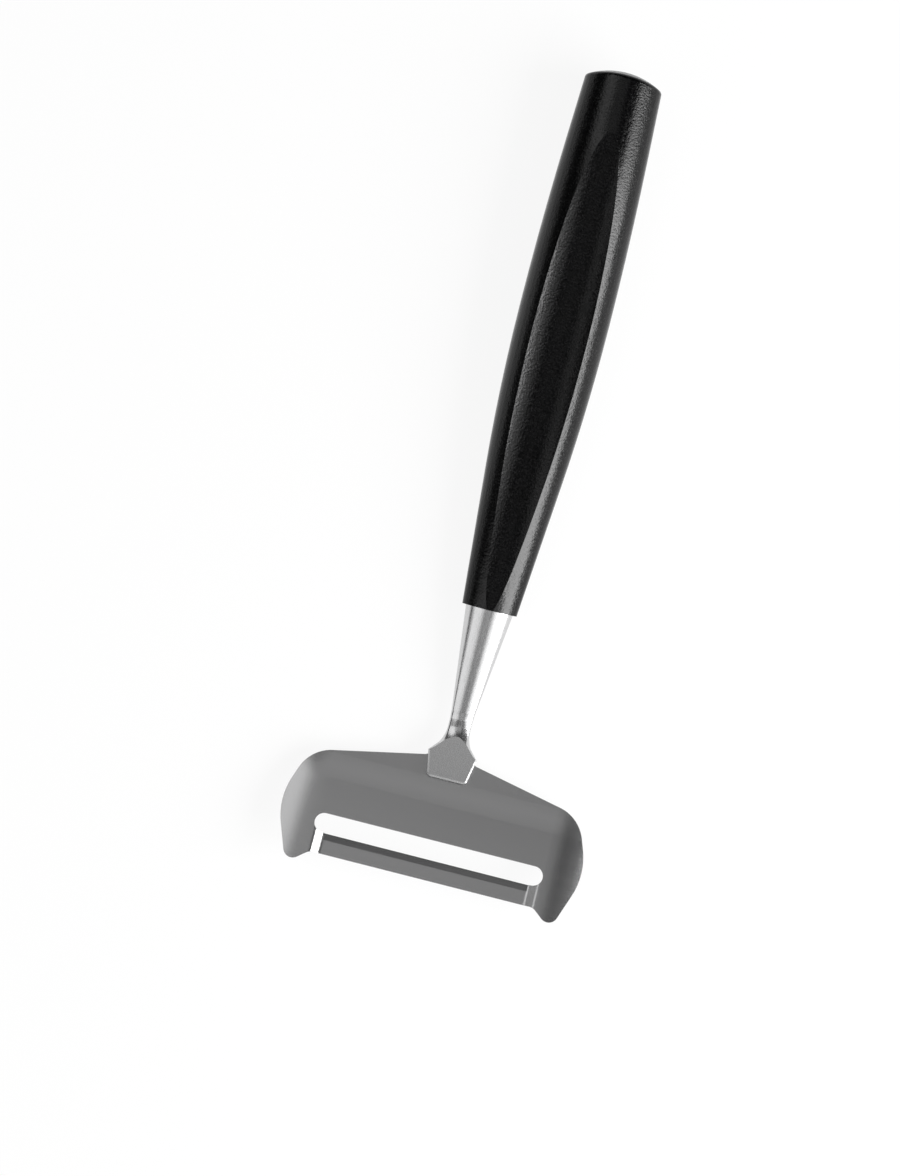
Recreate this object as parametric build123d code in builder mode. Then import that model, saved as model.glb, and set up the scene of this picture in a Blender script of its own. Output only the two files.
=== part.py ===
from build123d import *
import math
import os

# A hand-held cheese slicer in millimetres, top side up.
# The handle's axis is the Y axis: its front face is at the origin, its butt toward +Y.
# The steel neck and the head plate reach toward -Y and rise toward +Z.

os.makedirs("parts", exist_ok=True)

# Handle: an oval of four arcs that widens in a straight taper from its front face,
# swells to its belly and narrows again to its domed butt.
handle_length = 160.2
handle_front_width = 16.34
handle_flattening = 2.7
handle_side_reach = 5
front_taper = 4.66
front_taper_length = 40
front_swell_radius = 590
back_swell_radius = 1100
back_taper = 2.62
butt_dome_radius = 22
butt_edge_radius = 1.2

# The long hollow in the handle's top, and the same one below.
scallop_radius = 20
scallop_front_floor = 5.42
scallop_slope = 0.745
scallop_straight_share = 0.528
scallop_rise_radius = 762

# Neck: an oval of four arcs too. It tapers to its waist, bends up there and flares.
neck_root_width = 14.1
neck_flattening = 1.9
neck_side_reach = 2.35
neck_taper = 6.6
neck_taper_length = 31
neck_waist_radius = 20
neck_bend_radius = 15
neck_rise = 9
neck_flare_radius = 10.4
neck_flare_length = 8.25

# Foot: the flat end of the neck that laps over the head plate.
foot_thickness = 3.6
foot_length = 7.5
foot_width = 14.5
foot_end_width = 11.6
foot_back_width = 10
foot_back_length = 2.6
foot_back_radius = 0.8
foot_end_radius = 1.3
foot_bevel = 0.5
foot_bevel_angle = 45

# Tang: the flat end of the neck inside the handle.
tang_length = 62
tang_width = 9
tang_thickness = 3.2
tang_end_radius = 2
tang_notch_radius = 1.5
tang_notch_shares = [0.355, 0.71]
tang_clearance = 0.1

# Head plate, from the neck's shoulder on. Corners: shares of its half width and depth.
sheet_thickness = 1.1
plate_width = 92.2
plate_depth = 42.1
wing_shoulder_shares = (0.8785, 0.1971)
wing_flank_shares = (1, 0.5739)
wing_tip_shares = (0.8568, 1)
strip_corner_shares = (0.7223, 0.8812)
wing_shoulder_radius = 11.3
wing_flank_radius = 20.4
wing_tip_radius = 2.77
strip_corner_radius = 3.5

# Tongue of the plate under the foot.
tongue_width = 12.8
tongue_root = 1.19
tongue_back = 0.6
tongue_corner_radius = 0.8
tongue_root_radius = 1.8
tongue_clearance = 0.1

# The plate bends up from its rim, and its wings curve down beyond the slot's ends.
rim_bend_radius = 70
rim_bend = 6
crown_radius = 42

# The slot, and the strip beyond it that is pressed down and ground to an edge.
slot_place_share = 0.6689
slot_length = 68.2
slot_width = 5.66
strip_drop = 1.3
joggle_run = 3
joggle_radius = 2.5
joggle_margin = 0.1
edge_land = 0.22
edge_bevel_width = 1.9

# How the slicer lies on a table: the thicker butt lifts the handle's axis.
rest_tilt = 2.4

cut_overrun = 3
measuring_tolerance = 0.02

neck_straight = neck_taper_length + neck_waist_radius * math.sin(math.radians(neck_taper))
neck_narrowing = neck_taper_length * math.tan(math.radians(neck_taper))
neck_narrowing += neck_waist_radius * (1 - math.cos(math.radians(neck_taper)))
neck_waist_width = neck_root_width - 2 * neck_narrowing
foot_top = foot_thickness / 2
plate_top = sheet_thickness - foot_thickness / 2
strip_top = plate_top - strip_drop


def along(angle):
    """Direction toward the head, raised by an angle."""
    return Vector(0, -math.cos(math.radians(angle)), math.sin(math.radians(angle)))


def above(angle):
    """Direction square to it, toward the top side."""
    return Vector(0, math.sin(math.radians(angle)), math.cos(math.radians(angle)))


def cross_plane(point, slope):
    """Plane across the tool: its Y points toward the top side."""
    return Plane(origin=point, x_dir=(1, 0, 0), z_dir=along(slope))


def plan_plane(point, slope):
    """Plane seen from above: its Y points toward the head."""
    return Plane(origin=point, x_dir=(-1, 0, 0), z_dir=above(slope))


def side_plane(point, slope):
    """Plane along the tool: its X points toward the head, its Y toward the top side."""
    return Plane(origin=point, x_dir=along(slope), z_dir=(-1, 0, 0))


def oval_arcs(side_reach, flattening):
    """The arcs of an oval, its ends in two halves: centre, middle direction, half angle,
    radius where the material starts, and radius beyond that of the oval's ends."""
    top_reach = flattening * (2 * side_reach - flattening) / (2 * (side_reach - flattening))
    end_angle = math.degrees(math.atan(top_reach / side_reach))
    spread = math.hypot(side_reach, top_reach)
    return [
        (side_reach, 0, end_angle / 2, end_angle / 2, 0, 0),
        (0, -top_reach, 90, 90 - end_angle, top_reach, spread),
        (-side_reach, 0, 180 - end_angle / 2, end_angle / 2, 0, 0),
        (-side_reach, 0, 180 + end_angle / 2, end_angle / 2, 0, 0),
        (0, top_reach, 270, 90 - end_angle, top_reach, spread),
        (side_reach, 0, 360 - end_angle / 2, end_angle / 2, 0, 0),
    ]


def wedge_plane(frame, x, y, start):
    """Plane through an arc's centre line and its start: its Y points along the frame's axis."""
    outward = frame.x_dir * math.cos(math.radians(start)) + frame.y_dir * math.sin(math.radians(start))
    return Plane(origin=frame.from_local_coords((x, y, 0)), x_dir=outward, z_dir=outward.cross(frame.z_dir))


def both_sides(corners):
    """Points and radii of a closed outline from the corners of its right half."""
    left = [(-x, y, radius) for x, y, radius in reversed(corners)]
    points = [(x, y) for x, y, radius in corners + left]
    radii = [radius for x, y, radius in corners + left]
    return points, radii


def plate_corner(shares, radius):
    """A corner of the plate's outline."""
    return shares[0] * plate_width / 2, shares[1] * plate_depth, radius


def draw_crown():
    """The top of the right wing, curving down from the slot's end to past the edge."""
    crown_reach = (plate_width - slot_length) / 2 + cut_overrun
    crown_angle = math.degrees(math.asin(crown_reach / crown_radius))
    JernArc((slot_length / 2, plate_top), (1, 0), crown_radius, -crown_angle)


# Where the neck bends, and its shoulder.
handle_frame = Plane(origin=(0, 0, 0), x_dir=(-1, 0, 0), z_dir=(0, 1, 0))
neck_frame = cross_plane(Vector(0, 0, 0), 0)
bend_start = along(0) * neck_straight
bend_center = bend_start + above(0) * neck_bend_radius
flare_frame = cross_plane(bend_center - above(neck_rise) * neck_bend_radius, neck_rise)
shoulder = flare_frame.origin + along(neck_rise) * neck_flare_length

# Where the slot lies, measured along the plate's flat main area.
slot_middle = slot_place_share * plate_depth
half_bend = math.radians(rim_bend / 2)
bend_run = 2 * rim_bend_radius * math.sin(half_bend)
main_run = (slot_middle - bend_run) / math.cos(half_bend) - foot_length

with BuildSketch(Plane.XY) as tang_outline:
    with BuildLine():
        FilletPolyline(
            (-tang_width / 2, -cut_overrun),
            (tang_width / 2, -cut_overrun),
            (tang_width / 2, tang_length),
            (-tang_width / 2, tang_length),
            radius=[0, 0, tang_end_radius, tang_end_radius],
            close=True,
        )
    make_face()
    with Locations([
        (side * tang_width / 2, share * tang_length)
        for side in (1, -1)
        for share in tang_notch_shares
    ]):
        Circle(tang_notch_radius, mode=Mode.SUBTRACT)

with BuildPart() as neck:
    # Each arc of the oval is turned about its own centre line, from the root to the waist,
    # and from the bend to the shoulder.
    for x, y, middle, half_angle, inner, added in oval_arcs(neck_side_reach, neck_flattening):
        root = neck_root_width / 2 - neck_side_reach + added
        waist = neck_waist_width / 2 - neck_side_reach + added
        wedge = wedge_plane(neck_frame, x, y, middle - half_angle)
        with BuildSketch(wedge):
            with BuildLine():
                RadiusArc(
                    (root - neck_taper_length * math.tan(math.radians(neck_taper)), neck_taper_length),
                    (waist, neck_straight),
                    -neck_waist_radius,
                )
                Polyline(
                    (waist, neck_straight),
                    (inner, neck_straight),
                    (inner, 0),
                    (root, 0),
                    (root - neck_taper_length * math.tan(math.radians(neck_taper)), neck_taper_length),
                )
            make_face()
        revolve(axis=Axis(wedge.origin, wedge.y_dir), revolution_arc=2 * half_angle)
        wedge = wedge_plane(flare_frame, x, y, middle - half_angle)
        with BuildSketch(wedge):
            with BuildLine():
                flare = JernArc(
                    (waist, 0),
                    (0, 1),
                    neck_flare_radius,
                    -math.degrees(math.asin(neck_flare_length / neck_flare_radius)),
                )
                Polyline(flare @ 1, (inner, neck_flare_length), (inner, 0), (waist, 0))
            make_face()
        revolve(axis=Axis(wedge.origin, wedge.y_dir), revolution_arc=2 * half_angle)

    # Bend at the waist.
    with BuildSketch(cross_plane(bend_start, 0)):
        with BuildLine():
            for x, y, middle, half_angle, inner, added in oval_arcs(neck_side_reach, neck_flattening):
                radius = neck_waist_width / 2 - neck_side_reach + added
                CenterArc((x, y), radius, middle - half_angle, 2 * half_angle)
        make_face()
    revolve(axis=Axis(bend_center, (-1, 0, 0)), revolution_arc=neck_rise)

    # Flat top and bottom of the flared end.
    for side in (1, -1):
        with BuildSketch(plan_plane(shoulder, neck_rise).offset(side * foot_top)):
            Rectangle(neck_root_width + cut_overrun, 2 * neck_flare_length)
        extrude(amount=side * neck_root_width, mode=Mode.SUBTRACT)

    # Foot, bevelled round its top.
    foot_points, foot_radii = both_sides([
        (foot_back_width / 2, -foot_back_length, 0),
        (foot_width / 2, 0, foot_back_radius),
        (foot_end_width / 2, foot_length, foot_end_radius),
    ])
    with BuildSketch(plan_plane(shoulder, neck_rise).offset(-foot_top)):
        with BuildLine():
            FilletPolyline(*foot_points, radius=foot_radii, close=True)
        make_face()
    extrude(amount=foot_thickness - foot_bevel)
    with BuildSketch(plan_plane(shoulder, neck_rise).offset(foot_top - foot_bevel)):
        with BuildLine():
            FilletPolyline(*foot_points, radius=foot_radii, close=True)
        make_face()
    extrude(amount=foot_bevel, taper=foot_bevel_angle)

    # Half lap that takes the plate's tongue.
    with BuildSketch(plan_plane(shoulder, neck_rise).offset(plate_top)):
        with Locations((0, -tongue_back - tongue_clearance)):
            Rectangle(
                foot_width + cut_overrun,
                foot_length + cut_overrun,
                align=(Align.CENTER, Align.MIN),
            )
    extrude(amount=-foot_thickness, mode=Mode.SUBTRACT)

    # Tang.
    extrude(tang_outline.sketch, amount=tang_thickness / 2, both=True)

with BuildPart() as handle:
    # Each arc of the oval is turned about its own centre line.
    for x, y, middle, half_angle, inner, added in oval_arcs(handle_side_reach, handle_flattening):
        front = handle_front_width / 2 - handle_side_reach + added
        taper_end = front + front_taper_length * math.tan(math.radians(front_taper))
        wedge = wedge_plane(handle_frame, x, y, middle - half_angle)
        with BuildSketch(wedge):
            with BuildLine():
                taper = Line((front, 0), (taper_end, front_taper_length))
                swell = JernArc(taper @ 1, taper % 1, front_swell_radius, front_taper)
                belly = JernArc(swell @ 1, swell % 1, back_swell_radius, back_taper)
                back = Line(belly @ 1, belly @ 1 + (belly % 1) * (handle_length - front_taper_length))
                Polyline(back @ 1, (inner, (back @ 1).Y), (inner, 0), (front, 0))
            make_face()
        revolve(axis=Axis(wedge.origin, wedge.y_dir), revolution_arc=2 * half_angle)

    # Domed butt.
    dome_start = handle_length - butt_dome_radius
    with BuildSketch(Plane.XY):
        with BuildLine():
            RadiusArc((butt_dome_radius, dome_start), (0, handle_length), -butt_dome_radius)
            Polyline(
                (0, handle_length),
                (0, -cut_overrun),
                (butt_dome_radius, -cut_overrun),
                (butt_dome_radius, dome_start),
            )
        make_face()
    revolve(axis=Axis.Y, mode=Mode.INTERSECT)
    fillet(handle.faces().sort_by(Axis.Y)[-1].edges(), butt_edge_radius)

    # Hollows above and below: nearly level at first, then rising until they run out.
    straight_end = scallop_straight_share * handle_length
    for side in (1, -1):
        climb = side * math.tan(math.radians(scallop_slope))
        height = side * (scallop_front_floor + scallop_radius)
        with BuildLine(Plane.YZ) as scallop_path:
            run = Line(
                (-cut_overrun, height - climb * cut_overrun),
                (straight_end, height + climb * straight_end),
            )
            JernArc(
                run @ 1,
                run % 1,
                scallop_rise_radius - scallop_radius,
                side * math.degrees(math.asin((handle_length - straight_end) / scallop_rise_radius)),
            )
        with BuildSketch(Plane(origin=run @ 0, x_dir=(1, 0, 0), z_dir=run % 0)):
            Circle(scallop_radius)
        sweep(path=scallop_path.wire(), mode=Mode.SUBTRACT)

    # Blind socket, moulded round the tang.
    with BuildSketch(Plane.XY):
        add(tang_outline.sketch)
        offset(amount=tang_clearance, kind=Kind.INTERSECTION)
    extrude(amount=tang_thickness / 2 + tang_clearance, both=True, mode=Mode.SUBTRACT)

with BuildPart() as head_plate:
    # Rim, bend and main area as far as the middle of the slot.
    with BuildLine(side_plane(shoulder, neck_rise)) as plate_path:
        Line((-cut_overrun, 0), (foot_length, 0))
        bend = JernArc((foot_length, 0), (1, 0), rim_bend_radius, rim_bend)
        Line(bend @ 1, bend @ 1 + (bend % 1) * main_run)
    with BuildSketch(cross_plane(shoulder - along(neck_rise) * cut_overrun, neck_rise)):
        with BuildLine():
            Line((0, plate_top), (slot_length / 2, plate_top))
            draw_crown()
            mirror(about=Plane.YZ)
            offset(amount=sheet_thickness, side=Side.RIGHT)
        make_face()
    sweep(path=plate_path.wire())

    # Wings and pressed strip beyond the middle of the slot.
    main_slope = neck_rise + rim_bend
    main_end = plate_path.wire() @ 1
    joggle_slope = math.atan(strip_drop / joggle_run)
    joggle_outer = slot_length / 2 - joggle_margin - joggle_radius * math.tan(joggle_slope / 2)
    joggle_inner = joggle_outer - joggle_run
    with BuildSketch(cross_plane(main_end, main_slope)):
        with BuildLine():
            FilletPolyline(
                (0, strip_top),
                (joggle_inner, strip_top),
                (joggle_outer, plate_top),
                (slot_length / 2, plate_top),
                radius=joggle_radius,
            )
            draw_crown()
            mirror(about=Plane.YZ)
            offset(amount=sheet_thickness, side=Side.RIGHT)
        make_face()
    extrude(amount=plate_depth)

    # Ground bevel along the strip's edge in the slot.
    strip_edge = slot_width / 2 / math.cos(half_bend)
    bevel_end = strip_edge + edge_bevel_width
    bevel_slope = (sheet_thickness - edge_land) / edge_bevel_width
    bevel_floor = strip_top - bevel_slope * (edge_bevel_width + cut_overrun)
    with BuildSketch(side_plane(main_end, main_slope)):
        Polygon(
            (bevel_end, strip_top),
            (bevel_end, strip_top + cut_overrun),
            (strip_edge - cut_overrun, strip_top + cut_overrun),
            (strip_edge - cut_overrun, bevel_floor),
            align=None,
        )
    extrude(amount=joggle_inner, both=True, mode=Mode.SUBTRACT)

    # Outline and slot.
    plate_points, plate_radii = both_sides([
        (tongue_width / 2, -tongue_back, tongue_corner_radius),
        (tongue_width / 2, tongue_root, tongue_root_radius),
        plate_corner(wing_shoulder_shares, wing_shoulder_radius),
        plate_corner(wing_flank_shares, wing_flank_radius),
        plate_corner(wing_tip_shares, wing_tip_radius),
        plate_corner(strip_corner_shares, strip_corner_radius),
    ])
    with BuildSketch(plan_plane(shoulder, neck_rise + rim_bend / 2)):
        with BuildLine():
            FilletPolyline(*plate_points, radius=plate_radii, close=True)
        make_face()
        with Locations((0, slot_middle)):
            SlotOverall(slot_length, slot_width, mode=Mode.SUBTRACT)
    extrude(amount=plate_depth, both=True, mode=Mode.INTERSECT)

# The slicer as it lies on a table, centred along its length.
tilt = Location((0, 0, 0), (rest_tilt, 0, 0))
surface = []
for piece in (head_plate, neck, handle):
    surface += piece.part.moved(tilt).tessellate(measuring_tolerance)[0]
front = min(point.Y for point in surface)
back = max(point.Y for point in surface)
lowest = min(point.Z for point in surface)
placing = Location((0, -(front + back) / 2, -lowest)) * tilt
for piece in (head_plate, neck, handle):
    piece.part.move(placing)

head_plate.part.label = "head_plate"
neck.part.label = "neck"
handle.part.label = "handle"
export_step(head_plate.part, "parts/head_plate.step")
export_step(neck.part, "parts/neck.step")
export_step(handle.part, "parts/handle.step")

for piece in (head_plate, neck, handle):
    box = piece.part.bounding_box()
    print(piece.part.label, piece.part.is_valid, len(piece.part.solids()), round(piece.part.volume, 1))
    print("  from", box.min, "to", box.max)
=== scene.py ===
import math
import bpy
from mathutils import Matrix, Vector

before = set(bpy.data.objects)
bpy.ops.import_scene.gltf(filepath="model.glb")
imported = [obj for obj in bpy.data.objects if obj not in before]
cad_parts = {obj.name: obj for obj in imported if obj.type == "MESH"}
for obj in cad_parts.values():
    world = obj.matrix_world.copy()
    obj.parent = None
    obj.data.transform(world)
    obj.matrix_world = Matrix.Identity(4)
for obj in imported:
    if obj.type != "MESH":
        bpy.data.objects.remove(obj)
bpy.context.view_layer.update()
print("frame loaded")


def hexColour(code):
    channels = [int(code[place:place + 2], 16) / 255 for place in (1, 3, 5)]
    linear = [value / 12.92 if value <= 0.04045 else ((value + 0.055) / 1.055) ** 2.4 for value in channels]
    return (*linear, 1)


def perMetre(millimetres):
    return 1000 / millimetres


def addNode(tree, kind, settings=None, inputs=None):
    node = tree.nodes.new("ShaderNode" + kind)
    for name, value in (settings or {}).items():
        setattr(node, name, value)
    for name, value in (inputs or {}).items():
        if isinstance(value, bpy.types.NodeSocket):
            tree.links.new(value, node.inputs[name])
        else:
            node.inputs[name].default_value = value
    return node


def newMaterial(name):
    material = bpy.data.materials.new(name)
    material.use_nodes = True
    material.node_tree.nodes.clear()
    return material, material.node_tree


# One noise tints the surface between two colours, and one gives it its relief and its gloss.
def finishSurface(tree, finish, tinting, relief):
    tint = addNode(tree, "Mix", {"data_type": "RGBA"}, {
        "Factor": tinting.outputs["Fac"],
        "A": hexColour(finish["colours"][0]), "B": hexColour(finish["colours"][1])})
    gloss = addNode(tree, "MapRange", None, {
        "Value": relief.outputs["Fac"], "From Min": 0.3, "From Max": 0.7,  # where nearly all of a noise lies
        "To Min": finish["roughness"][0], "To Max": finish["roughness"][1]})
    bump = addNode(tree, "Bump", None, {
        "Height": relief.outputs["Fac"], "Strength": finish["bump"], "Distance": finish["depth"] / 1000})
    shader = addNode(tree, "BsdfPrincipled", None, {
        "Base Color": tint.outputs["Result"], "Roughness": gloss.outputs["Result"],
        "Normal": bump.outputs["Normal"], **finish["body"]})
    addNode(tree, "OutputMaterial", None, {"Surface": shader.outputs["BSDF"]})


def dress(node, material):
    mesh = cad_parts[node].data
    mesh.materials.clear()
    mesh.materials.append(material)


# Camera: straight above the tool, turned so that the handle leans to the right.
camera = {
    "above": (-0.0127, -0.0349),  # metres
    "height": 0.8795,
    "turn": 14.28,  # degrees
    "frameTall": 1176,  # pixels of the photograph
    "distancePixels": 3000,  # the camera's distance on the same scale
}
cameraData = bpy.data.cameras.new("camera")
cameraObject = bpy.data.objects.new("camera", cameraData)
bpy.context.scene.collection.objects.link(cameraObject)
cameraData.sensor_fit = "VERTICAL"
cameraData.angle = 2 * math.atan(camera["frameTall"] / 2 / camera["distancePixels"])
cameraData.clip_start = 0.01
cameraObject.location = (*camera["above"], camera["height"])
cameraObject.rotation_euler = (0, 0, math.radians(camera["turn"]))
bpy.context.scene.camera = cameraObject
print("camera set")

# Black polypropylene, injection moulded in a spark-eroded tool: near black, with a fine grain that sparkles
# where light grazes it. The real grain, of about 0.1 mm, is too fine to show, so it is drawn coarser.
handle = {
    "colours": ("#010101", "#040405"),
    "patch": 9,  # mm
    "grain": 0.6,  # mm
    "depth": 0.08,  # mm
    "bump": 0.75,
    "roughness": (0.13, 0.31),
    "body": {"IOR": 1.49, "Specular IOR Level": 0.35},
}
plastic, tree = newMaterial("black_polypropylene_spark_eroded")
place = addNode(tree, "TexCoord").outputs["Object"]
patches = addNode(tree, "TexNoise", None, {"Vector": place, "Scale": perMetre(handle["patch"]), "Detail": 3})
grain = addNode(tree, "TexNoise", None, {"Vector": place, "Scale": perMetre(handle["grain"]), "Detail": 2})
finishSurface(tree, handle, patches, grain)
dress("handle", plastic)

# Stainless steel in two finishes, whose marks are drawn coarser than the real ones, which are too fine to show.
# The satin sheet is a soft even grey with faint lines across the head.
plate = {
    "colours": ("#acacad", "#b6b6b6"),
    "marks": (14, 0.3, 14),  # mm
    "depth": 0.004,  # mm
    "bump": 0.12,
    "roughness": (0.24, 0.26),
    "body": {"Metallic": 1},
}
# The forged and ground bar is brighter, with short strokes along its length.
neck = {
    "colours": ("#cccccd", "#d2d2d2"),
    "marks": (0.18, 5, 0.4),  # mm
    "depth": 0.002,  # mm
    "bump": 0.15,
    "roughness": (0.22, 0.3),
    "body": {"Metallic": 1},
}
for node, name, steel in (
    ("head_plate", "stainless_steel_sheet_satin", plate),
    ("neck", "stainless_steel_forged_ground", neck),
):
    metal, tree = newMaterial(name)
    place = addNode(tree, "TexCoord").outputs["Object"]
    stretch = addNode(tree, "Mapping", None, {"Vector": place, "Scale": [perMetre(size) for size in steel["marks"]]})
    marks = addNode(tree, "TexNoise", None, {"Vector": stretch.outputs["Vector"], "Scale": 1, "Detail": 3})
    finishSurface(tree, steel, marks, marks)
    dress(node, metal)
print("materials made")

# Matt white paper for the floor. To the camera and in mirrored views it glows a little under white, and the
# rest of its tone is the light that falls on it, so it keeps the tool's soft shadow.
floor = {"halfSize": 12, "colour": "#f4f4f4", "glowShare": 0.9}
floorMesh = bpy.data.meshes.new("floor")
half = floor["halfSize"]
floorMesh.from_pydata([(-half, -half, 0), (half, -half, 0), (half, half, 0), (-half, half, 0)], [], [(0, 1, 2, 3)])
floorObject = bpy.data.objects.new("floor", floorMesh)
bpy.context.scene.collection.objects.link(floorObject)
paper, tree = newMaterial("white_paper_sweep")
rays = addNode(tree, "LightPath")
seen = addNode(tree, "Math", {"operation": "MAXIMUM"}, {
    0: rays.outputs["Is Camera Ray"], 1: rays.outputs["Is Glossy Ray"]})
seenAll = addNode(tree, "Math", {"operation": "MAXIMUM"}, {
    0: seen.outputs[0], 1: rays.outputs["Is Transmission Ray"]})
share = addNode(tree, "Math", {"operation": "MULTIPLY"}, {0: seenAll.outputs[0], 1: floor["glowShare"]})
matt = addNode(tree, "BsdfDiffuse", None, {"Color": hexColour(floor["colour"])})
glow = addNode(tree, "Emission", None, {"Color": (1, 1, 1, 1), "Strength": 1})
mixed = addNode(tree, "MixShader", None, {"Fac": share.outputs[0], 1: matt.outputs[0], 2: glow.outputs[0]})
addNode(tree, "OutputMaterial", None, {"Surface": mixed.outputs[0]})
floorMesh.materials.append(paper)

# Soft panels, all at one distance and facing the tool. Each has its compass angle and its elevation in degrees,
# its size in metres and its power in watts.
panelDistance = 1.2
panels = {
    "right": {"toward": -11, "elevation": 30, "size": (1, 0.72), "power": 26},
    "rightHigh": {"toward": -28, "elevation": 56, "size": (0.8, 0.45), "power": 1.6},
    "left": {"toward": 142, "elevation": 54, "size": (0.62, 0.56), "power": 1.46},
    "front": {"toward": 213, "elevation": 46, "size": (0.55, 1), "power": 2.1},
    "top": {"toward": 270, "elevation": 74, "size": (0.3, 0.3), "power": 0.17},
    "back": {"toward": 90, "elevation": 79, "size": (0.5, 0.34), "power": 0.29},
}
for name, panel in panels.items():
    light = bpy.data.lights.new(name, "AREA")
    light.shape = "RECTANGLE"
    light.size, light.size_y = panel["size"]
    light.energy = panel["power"]
    lamp = bpy.data.objects.new(name, light)
    bpy.context.scene.collection.objects.link(lamp)
    toward, elevation = math.radians(panel["toward"]), math.radians(panel["elevation"])
    direction = Vector((
        math.cos(elevation) * math.cos(toward), math.cos(elevation) * math.sin(toward), math.sin(elevation)))
    lamp.location = direction * panelDistance
    lamp.rotation_euler = direction.to_track_quat("Z", "Y").to_euler()

# The room is pale low down all round. Above that its walls are pale to the right and darken to the left,
# and its ceiling is dark.
room = {
    "paleSide": (0.9, -0.43, 0),
    "walls": (-0.9, 0.5, 0.08, 0.85),  # from and to along the pale side, then the two brightnesses
    "skirting": (0.06, 0.14, 0.93),  # where it ends, from and to in height, then its brightness
    "ceiling": (0.2, 0.5, 0.03),  # where it begins, from and to in height, then its brightness
}
world = bpy.data.worlds.new("room")
bpy.context.scene.world = world
world.use_nodes = True
world.node_tree.nodes.clear()
tree = world.node_tree
way = addNode(tree, "TexCoord").outputs["Generated"]
height = addNode(tree, "SeparateXYZ", None, {"Vector": way}).outputs["Z"]
facing = addNode(tree, "VectorMath", {"operation": "DOT_PRODUCT"}, {0: way, 1: room["paleSide"]})
wall = addNode(tree, "MapRange", {"interpolation_type": "SMOOTHSTEP"}, {
    "Value": facing.outputs["Value"], "From Min": room["walls"][0], "From Max": room["walls"][1],
    "To Min": room["walls"][2], "To Max": room["walls"][3]})
upper = addNode(tree, "MapRange", {"interpolation_type": "SMOOTHSTEP"}, {
    "Value": height, "From Min": room["ceiling"][0], "From Max": room["ceiling"][1],
    "To Min": wall.outputs["Result"], "To Max": room["ceiling"][2]})
level = addNode(tree, "MapRange", {"interpolation_type": "SMOOTHSTEP"}, {
    "Value": height, "From Min": room["skirting"][0], "From Max": room["skirting"][1],
    "To Min": room["skirting"][2], "To Max": upper.outputs["Result"]})
sky = addNode(tree, "Background", None, {"Color": (1, 1, 1, 1), "Strength": level.outputs["Result"]})
addNode(tree, "OutputWorld", None, {"Surface": sky.outputs[0]})
print("studio lit")

bpy.context.scene.view_settings.view_transform = "Standard"
